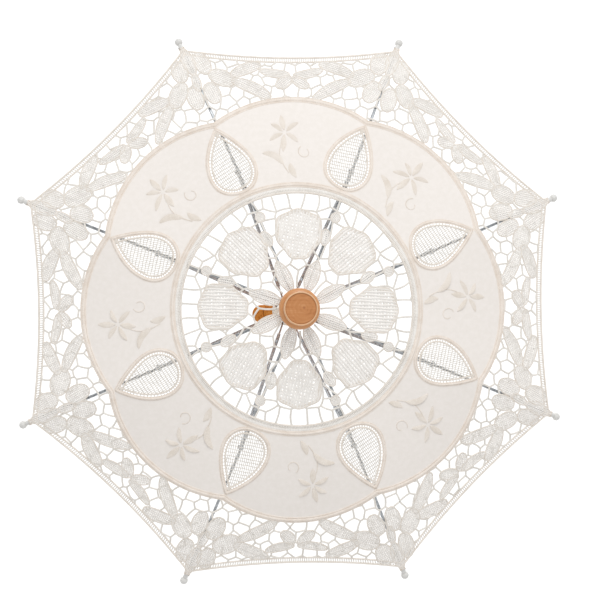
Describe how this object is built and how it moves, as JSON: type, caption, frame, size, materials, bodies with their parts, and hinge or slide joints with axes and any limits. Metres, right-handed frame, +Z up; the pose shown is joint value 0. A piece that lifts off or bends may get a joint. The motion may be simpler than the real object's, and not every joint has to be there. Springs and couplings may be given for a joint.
{
  "type": "parasol",
  "caption": "Open lace parasol with folding ribs, a sliding runner, spring catches, and a turned wooden stick, finial and straight grip",
  "frame": {"origin": "middle of the hand grip, on the axis of the stick", "axes": "+Z runs up the stick to the finial; +X and +Y point half way between two ribs"},
  "size_m": [0.3804, 0.3804, 0.3534],
  "materials": {
    "turned_wood": "satin lacquer",
    "stick_wood": "satin lacquer",
    "frame_steel": "plated, satin",
    "spring_steel": "bright",
    "moulded_white": "moulded, satin",
    "tip_enamel": "smooth, pale grey",
    "cotton_lace": "cotton tape lace and linen",
    "felt": "felted"
  },
  "bodies": {
    "stick": {"shaft": "stick_wood", "handle": "turned_wood", "finial": "turned_wood", "top_notch": "moulded_white", "notch_wire": "frame_steel", "notch_pin": "frame_steel", "crown_washer": "felt", "stop_pin": "frame_steel"},
    "runner": {"runner": "moulded_white", "runner_wire": "frame_steel"},
    "upper_catch": {"upper_catch": "spring_steel"},
    "lower_catch": {"lower_catch": "spring_steel"},
    "rib_1": {"rib_1": "frame_steel", "rib_tip_1": "tip_enamel", "joint_rivet_1": "frame_steel", "canopy_panel_1": "cotton_lace"},
    "stretcher_1": {"stretcher_1": "frame_steel"},
    "rib_2": {"rib_2": "frame_steel", "rib_tip_2": "tip_enamel", "joint_rivet_2": "frame_steel", "canopy_panel_2": "cotton_lace"},
    "stretcher_2": {"stretcher_2": "frame_steel"},
    "rib_3": {"rib_3": "frame_steel", "rib_tip_3": "tip_enamel", "joint_rivet_3": "frame_steel", "canopy_panel_3": "cotton_lace"},
    "stretcher_3": {"stretcher_3": "frame_steel"},
    "rib_4": {"rib_4": "frame_steel", "rib_tip_4": "tip_enamel", "joint_rivet_4": "frame_steel", "canopy_panel_4": "cotton_lace"},
    "stretcher_4": {"stretcher_4": "frame_steel"},
    "rib_5": {"rib_5": "frame_steel", "rib_tip_5": "tip_enamel", "joint_rivet_5": "frame_steel", "canopy_panel_5": "cotton_lace"},
    "stretcher_5": {"stretcher_5": "frame_steel"},
    "rib_6": {"rib_6": "frame_steel", "rib_tip_6": "tip_enamel", "joint_rivet_6": "frame_steel", "canopy_panel_6": "cotton_lace"},
    "stretcher_6": {"stretcher_6": "frame_steel"},
    "rib_7": {"rib_7": "frame_steel", "rib_tip_7": "tip_enamel", "joint_rivet_7": "frame_steel", "canopy_panel_7": "cotton_lace"},
    "stretcher_7": {"stretcher_7": "frame_steel"},
    "rib_8": {"rib_8": "frame_steel", "rib_tip_8": "tip_enamel", "joint_rivet_8": "frame_steel", "canopy_panel_8": "cotton_lace"},
    "stretcher_8": {"stretcher_8": "frame_steel"}
  },
  "joints": [
    {"name": "runner_slide", "type": "slide", "parent": "stick", "child": "runner", "axis": [0, 0, 1], "range_m": [-0.12729, 0], "deforming": ["upper_catch", "lower_catch"]},
    {"name": "upper_catch_press", "type": "hinge", "parent": "stick", "child": "upper_catch", "pos_m": [0.0025, 0, 0.179], "axis": [0, -1, 0], "range_deg": [0, 9], "stiffness_Nm_per_rad": 0.05},
    {"name": "lower_catch_press", "type": "hinge", "parent": "stick", "child": "lower_catch", "pos_m": [0.0025, 0, 0.08671], "axis": [0, 1, 0], "range_deg": [0, 9], "stiffness_Nm_per_rad": 0.05},
    {"name": "rib_1_hinge", "type": "hinge", "parent": "stick", "child": "rib_1", "pos_m": [0.00785, 0.00325, 0.29], "axis": [-0.3827, 0.9239, 0], "range_deg": [0, 75.47], "deforming": ["canopy_panel_1"]},
    {"name": "stretcher_1_hinge", "type": "hinge", "parent": "rib_1", "child": "stretcher_1", "pos_m": [0.09406, 0.03896, 0.27432], "axis": [-0.3827, 0.9239, 0], "range_deg": [-126.71, 0]},
    {"name": "rib_2_hinge", "type": "hinge", "parent": "stick", "child": "rib_2", "pos_m": [0.00325, 0.00785, 0.29], "axis": [-0.9239, 0.3827, 0], "range_deg": [0, 75.47], "deforming": ["canopy_panel_2"]},
    {"name": "stretcher_2_hinge", "type": "hinge", "parent": "rib_2", "child": "stretcher_2", "pos_m": [0.03896, 0.09406, 0.27432], "axis": [-0.9239, 0.3827, 0], "range_deg": [-126.71, 0]},
    {"name": "rib_3_hinge", "type": "hinge", "parent": "stick", "child": "rib_3", "pos_m": [-0.00325, 0.00785, 0.29], "axis": [-0.9239, -0.3827, 0], "range_deg": [0, 75.47], "deforming": ["canopy_panel_3"]},
    {"name": "stretcher_3_hinge", "type": "hinge", "parent": "rib_3", "child": "stretcher_3", "pos_m": [-0.03896, 0.09406, 0.27432], "axis": [-0.9239, -0.3827, 0], "range_deg": [-126.71, 0]},
    {"name": "rib_4_hinge", "type": "hinge", "parent": "stick", "child": "rib_4", "pos_m": [-0.00785, 0.00325, 0.29], "axis": [-0.3827, -0.9239, 0], "range_deg": [0, 75.47], "deforming": ["canopy_panel_4"]},
    {"name": "stretcher_4_hinge", "type": "hinge", "parent": "rib_4", "child": "stretcher_4", "pos_m": [-0.09406, 0.03896, 0.27432], "axis": [-0.3827, -0.9239, 0], "range_deg": [-126.71, 0]},
    {"name": "rib_5_hinge", "type": "hinge", "parent": "stick", "child": "rib_5", "pos_m": [-0.00785, -0.00325, 0.29], "axis": [0.3827, -0.9239, 0], "range_deg": [0, 75.47], "deforming": ["canopy_panel_5"]},
    {"name": "stretcher_5_hinge", "type": "hinge", "parent": "rib_5", "child": "stretcher_5", "pos_m": [-0.09406, -0.03896, 0.27432], "axis": [0.3827, -0.9239, 0], "range_deg": [-126.71, 0]},
    {"name": "rib_6_hinge", "type": "hinge", "parent": "stick", "child": "rib_6", "pos_m": [-0.00325, -0.00785, 0.29], "axis": [0.9239, -0.3827, 0], "range_deg": [0, 75.47], "deforming": ["canopy_panel_6"]},
    {"name": "stretcher_6_hinge", "type": "hinge", "parent": "rib_6", "child": "stretcher_6", "pos_m": [-0.03896, -0.09406, 0.27432], "axis": [0.9239, -0.3827, 0], "range_deg": [-126.71, 0]},
    {"name": "rib_7_hinge", "type": "hinge", "parent": "stick", "child": "rib_7", "pos_m": [0.00325, -0.00785, 0.29], "axis": [0.9239, 0.3827, 0], "range_deg": [0, 75.47], "deforming": ["canopy_panel_7"]},
    {"name": "stretcher_7_hinge", "type": "hinge", "parent": "rib_7", "child": "stretcher_7", "pos_m": [0.03896, -0.09406, 0.27432], "axis": [0.9239, 0.3827, 0], "range_deg": [-126.71, 0]},
    {"name": "rib_8_hinge", "type": "hinge", "parent": "stick", "child": "rib_8", "pos_m": [0.00785, -0.00325, 0.29], "axis": [0.3827, 0.9239, 0], "range_deg": [0, 75.47], "deforming": ["canopy_panel_8"]},
    {"name": "stretcher_8_hinge", "type": "hinge", "parent": "rib_8", "child": "stretcher_8", "pos_m": [0.09406, -0.03896, 0.27432], "axis": [0.3827, 0.9239, 0], "range_deg": [-126.71, 0]}
  ],
  "couplings": [
    {"joint": "rib_1_hinge", "follows": "runner_slide", "rad_per_m": -10.347},
    {"joint": "stretcher_1_hinge", "follows": "runner_slide", "rad_per_m": 17.374},
    {"joint": "rib_2_hinge", "follows": "runner_slide", "rad_per_m": -10.347},
    {"joint": "stretcher_2_hinge", "follows": "runner_slide", "rad_per_m": 17.374},
    {"joint": "rib_3_hinge", "follows": "runner_slide", "rad_per_m": -10.347},
    {"joint": "stretcher_3_hinge", "follows": "runner_slide", "rad_per_m": 17.374},
    {"joint": "rib_4_hinge", "follows": "runner_slide", "rad_per_m": -10.347},
    {"joint": "stretcher_4_hinge", "follows": "runner_slide", "rad_per_m": 17.374},
    {"joint": "rib_5_hinge", "follows": "runner_slide", "rad_per_m": -10.347},
    {"joint": "stretcher_5_hinge", "follows": "runner_slide", "rad_per_m": 17.374},
    {"joint": "rib_6_hinge", "follows": "runner_slide", "rad_per_m": -10.347},
    {"joint": "stretcher_6_hinge", "follows": "runner_slide", "rad_per_m": 17.374},
    {"joint": "rib_7_hinge", "follows": "runner_slide", "rad_per_m": -10.347},
    {"joint": "stretcher_7_hinge", "follows": "runner_slide", "rad_per_m": 17.374},
    {"joint": "rib_8_hinge", "follows": "runner_slide", "rad_per_m": -10.347},
    {"joint": "stretcher_8_hinge", "follows": "runner_slide", "rad_per_m": 17.374}
  ]
}
